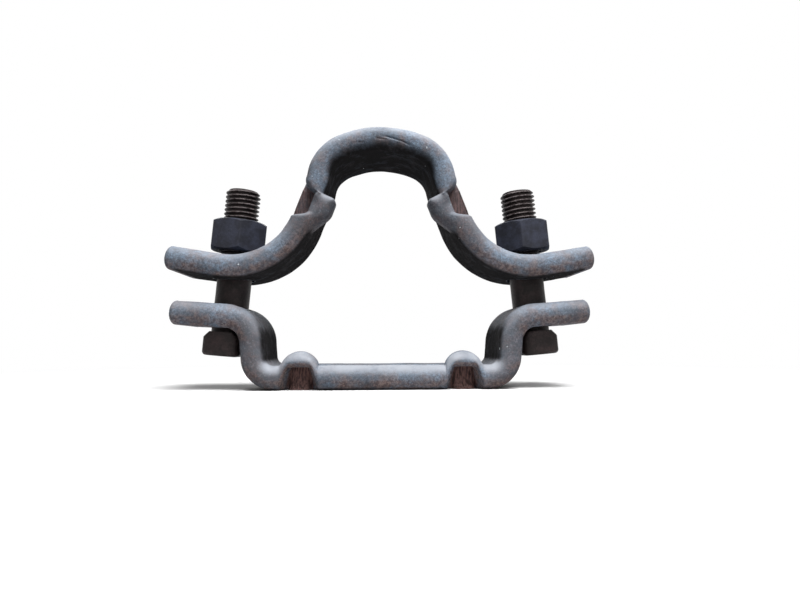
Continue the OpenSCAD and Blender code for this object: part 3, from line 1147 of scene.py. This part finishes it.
def seen_directly(owner):
    """One for camera, glossy and transmission rays, else zero."""
    path = owner.node_tree.nodes.new("ShaderNodeLightPath")
    seen = arithmetic(owner, "MAXIMUM", path.outputs["Is Camera Ray"], path.outputs["Is Glossy Ray"])
    return arithmetic(owner, "MAXIMUM", seen, path.outputs["Is Transmission Ray"])


def floor_paper():
    """Paper that shows the shadow near the clamp and fades to plain white with the distance."""
    material = bpy.data.materials.new("floor_paper")
    material.use_nodes = True
    nodes = material.node_tree.nodes
    nodes.clear()
    seen = seen_directly(material)
    paper = nodes.new("ShaderNodeBsdfDiffuse")
    link(material, mix(material, seen, FLOOR_GREY, FLOOR_PALE), paper.inputs["Color"])
    white = nodes.new("ShaderNodeEmission")
    link(material, seen, white.inputs["Strength"])
    coordinates = nodes.new("ShaderNodeTexCoord")
    distance = nodes.new("ShaderNodeVectorMath")
    distance.operation = "LENGTH"
    link(material, coordinates.outputs["Object"], distance.inputs[0])
    blend = nodes.new("ShaderNodeMixShader")
    link(material, ramp(material, distance.outputs["Value"], *SHADOW_ZONE), blend.inputs["Fac"])
    link(material, paper.outputs["BSDF"], blend.inputs[1])
    link(material, white.outputs["Emission"], blend.inputs[2])
    output = nodes.new("ShaderNodeOutputMaterial")
    link(material, blend.outputs["Shader"], output.inputs["Surface"])
    return material


def make_floor():
    """A wide square just under the clamp."""
    mesh = bpy.data.meshes.new("floor")
    signs = ((-1, -1), (1, -1), (1, 1), (-1, 1))
    corners = [(FLOOR_HALF * x, FLOOR_HALF * y, FLOOR_Z) for x, y in signs]
    mesh.from_pydata(corners, [], [(0, 1, 2, 3)])
    mesh.materials.append(floor_paper())
    floor = bpy.data.objects.new("floor", mesh)
    bpy.context.scene.collection.objects.link(floor)
    print("floor is", 2 * FLOOR_HALF, "m wide")


def make_surround():
    """A world that is white where it is seen and gives only a little light of its own."""
    world = bpy.data.worlds.new("surround")
    world.use_nodes = True
    nodes = world.node_tree.nodes
    nodes.clear()
    background = nodes.new("ShaderNodeBackground")
    background.inputs["Color"].default_value = (1, 1, 1, 1)
    strength = spread(world, seen_directly(world), SURROUND_LIGHT, 1.0)
    link(world, strength, background.inputs["Strength"])
    output = nodes.new("ShaderNodeOutputWorld")
    link(world, background.outputs["Background"], output.inputs["Surface"])
    bpy.context.scene.world = world


make_floor()
make_surround()

# %% Lamps
LAMP_AIM = np.array([0, 0, 0.08])
LAMP_SIZE = 0.8
LAMPS = {
    "top_softbox": ((0.16, -0.38, 1.14), 28),
    "front_softbox": ((0.30, -1.10, 0.70), 3.6),
    "rear_softbox": ((-0.35, 1.15, 0.85), 6),
}


def softbox(name, place, power):
    """A square lamp at a place, turned to look at the middle of the clamp."""
    lamp = bpy.data.lights.new(name, "AREA")
    lamp.size = LAMP_SIZE
    lamp.energy = power
    holder = bpy.data.objects.new(name, lamp)
    holder.location = place
    sight = LAMP_AIM - np.array(place)
    tilt = math.atan2(math.hypot(sight[0], sight[1]), -sight[2])
    holder.rotation_euler = (tilt, 0, math.atan2(-sight[0], sight[1]))
    bpy.context.scene.collection.objects.link(holder)
    print(name, "gives", power, "W")


for lamp_name, (lamp_place, lamp_power) in LAMPS.items():
    softbox(lamp_name, lamp_place, lamp_power)

# %% [markdown]
# ## Camera
# The clamp is seen from the front, from close by and low down, so the back edges look clearly
# smaller than the front ones. The camera looks slightly up and to the right of the middle. It could
# track a target, but yaw, pitch and roll are set on their own here, so each can be corrected alone.

# %% Camera
CAMERA_PLACE = (-0.0020, -0.4310, 0.0279)
CAMERA_YAW = math.radians(1.980)
CAMERA_PITCH = math.radians(4.359)
CAMERA_ROLL = math.radians(-0.278)
FOCAL_PIXELS = 612.9
IMAGE_WIDTH = 800
SENSOR_WIDTH = 36
CLIP_START = 0.01

forward = np.array([
    math.sin(CAMERA_YAW) * math.cos(CAMERA_PITCH),
    math.cos(CAMERA_YAW) * math.cos(CAMERA_PITCH),
    math.sin(CAMERA_PITCH),
])
level_right = np.array([math.cos(CAMERA_YAW), -math.sin(CAMERA_YAW), 0])
level_up = np.cross(level_right, forward)
pose = np.eye(4)
pose[:3, 0] = level_right * math.cos(CAMERA_ROLL) + level_up * math.sin(CAMERA_ROLL)
pose[:3, 1] = level_up * math.cos(CAMERA_ROLL) - level_right * math.sin(CAMERA_ROLL)
pose[:3, 2] = -forward
pose[:3, 3] = CAMERA_PLACE
lens = bpy.data.cameras.new("camera")
lens.sensor_width = SENSOR_WIDTH
lens.lens = FOCAL_PIXELS / IMAGE_WIDTH * SENSOR_WIDTH
lens.clip_start = CLIP_START
camera = bpy.data.objects.new("camera", lens)
camera.matrix_world = Matrix(pose.tolist())
bpy.context.scene.collection.objects.link(camera)
bpy.context.scene.camera = camera
bpy.context.scene.view_settings.view_transform = "Standard"
print("focal length in mm:", round(lens.lens, 2))
